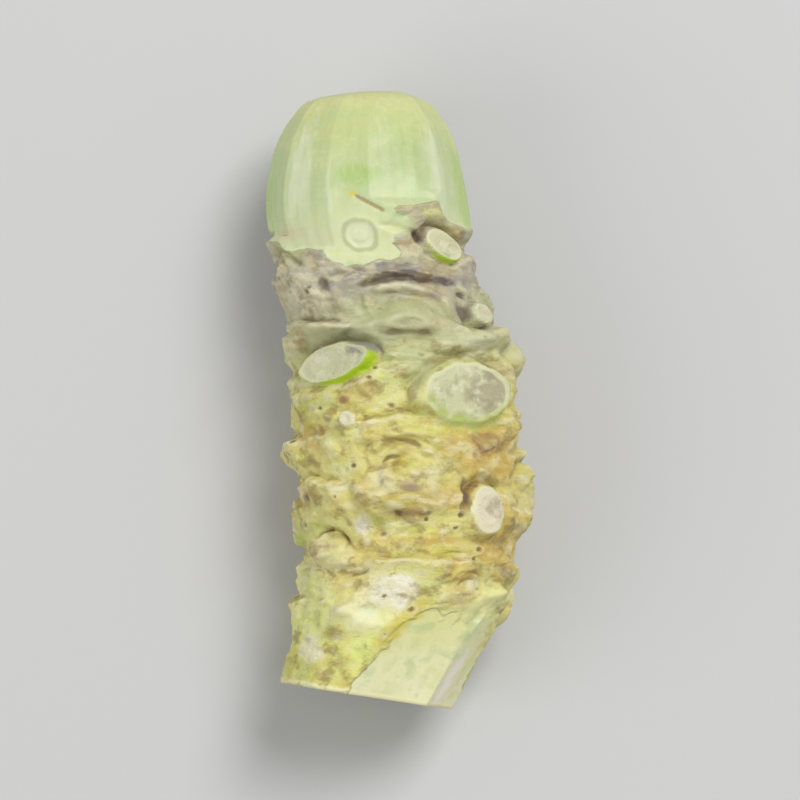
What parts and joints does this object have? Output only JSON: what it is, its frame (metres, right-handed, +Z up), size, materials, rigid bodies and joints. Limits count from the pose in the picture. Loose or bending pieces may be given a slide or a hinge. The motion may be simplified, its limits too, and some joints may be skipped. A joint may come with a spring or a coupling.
{
  "type": "wasabi root",
  "caption": "Trimmed wasabi rhizome lying on its side: pared crown, clasping leaf scars, buds and cut side shoots, flat cut base.",
  "frame": {"origin": "middle of the footprint, on the surface that the root lies on", "axes": "+Z up; +Y along the root, from the cut base to the pared crown; +X across it, to the right as seen from above with the crown away from the viewer"},
  "size_m": [0.0244, 0.0556, 0.0215],
  "materials": {
    "rhizome": null
  },
  "bodies": {
    "root": {"wasabi_root": "rhizome"}
  },
  "joints": []
}
